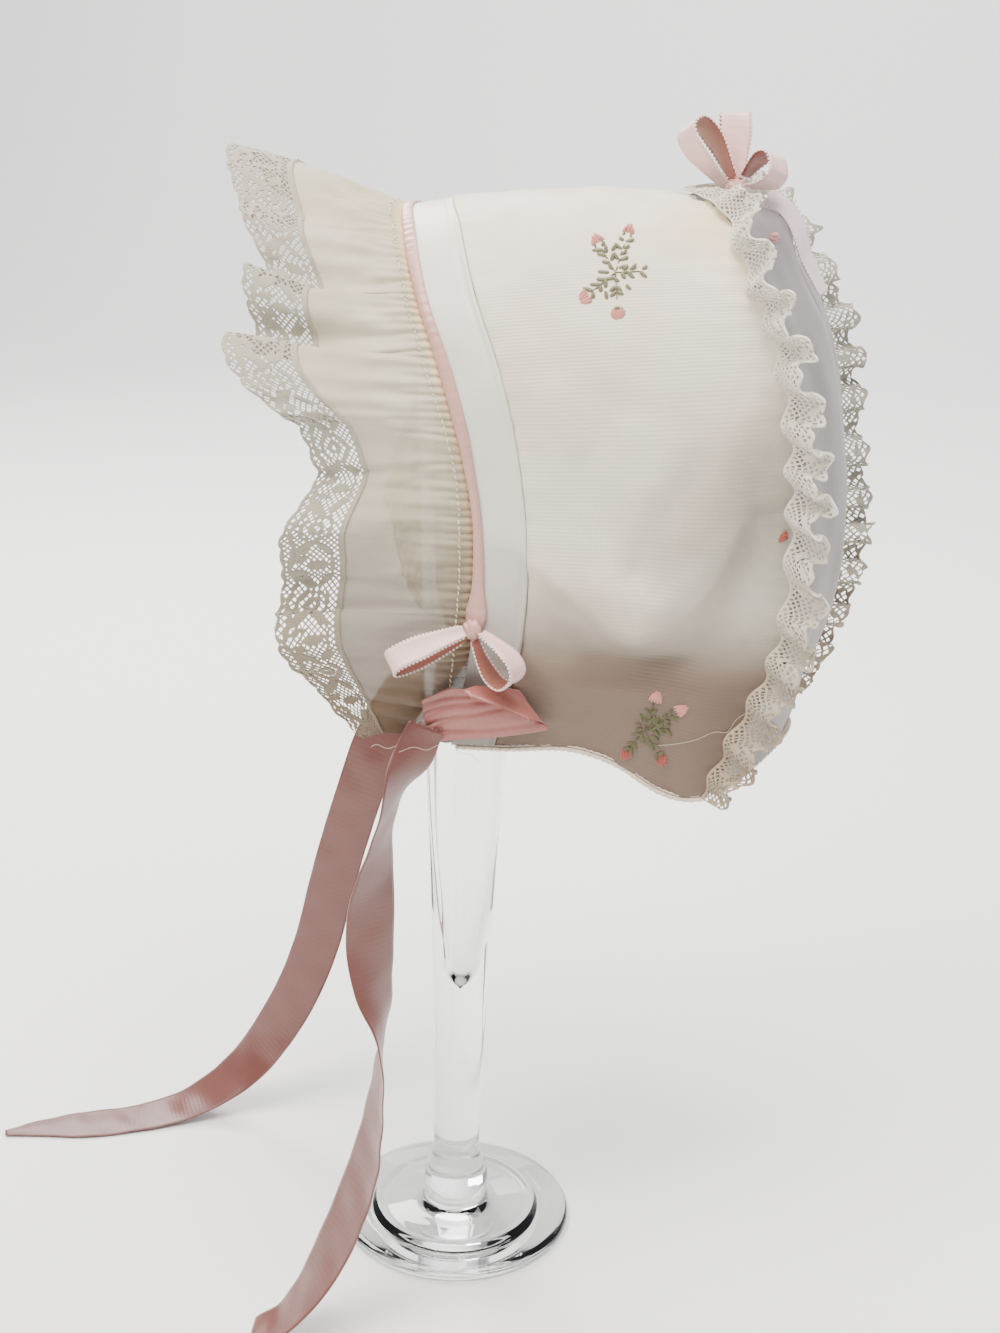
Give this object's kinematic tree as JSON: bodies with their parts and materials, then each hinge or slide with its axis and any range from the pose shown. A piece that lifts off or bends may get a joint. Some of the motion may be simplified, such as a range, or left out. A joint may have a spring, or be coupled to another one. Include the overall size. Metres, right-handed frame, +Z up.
{
  "type": "baby bonnet on glass stand",
  "caption": "Cream silk baby bonnet with a gathered organza ruffle, lace edging, pink satin bows and rose ties, held up on a clear glass bud vase.",
  "frame": {"origin": "centre of the underside of the glass stand's foot, on the table", "axes": "+Z up; the face opening looks along -X, the back of the crown lies towards +X; the near side is -Y"},
  "size_m": [0.2797, 0.1514, 0.3536],
  "materials": {
    "glass": "clear, polished",
    "silk": "soft silk with fine ribs",
    "band": "smooth satin",
    "organza": "sheer, gathered",
    "lace": "cotton net lace",
    "pink_satin": "satin ribbon with picot edges",
    "rose_satin": "satin ribbon"
  },
  "bodies": {
    "root": {"glass_stand": "glass", "crown_panel": "silk", "front_band": "band", "back_panel": "silk", "face_ruffle": "organza", "face_lace": "lace", "seam_ribbon": "pink_satin", "near_hem": "silk", "far_hem": "silk", "back_hem": "silk", "back_lace": "lace", "near_bow_knot": "pink_satin", "near_bow_front_loop": "pink_satin", "near_bow_back_loop": "pink_satin", "far_bow_knot": "pink_satin", "far_bow_front_loop": "pink_satin", "far_bow_back_loop": "pink_satin", "near_tie_head": "rose_satin", "far_tie_head": "rose_satin", "near_tie": "rose_satin", "far_tie": "rose_satin", "top_bow_knot": "pink_satin", "top_bow_front_loop": "pink_satin", "top_bow_middle_loop": "pink_satin", "top_bow_back_loop": "pink_satin", "top_bow_tail": "pink_satin"}
  },
  "joints": []
}
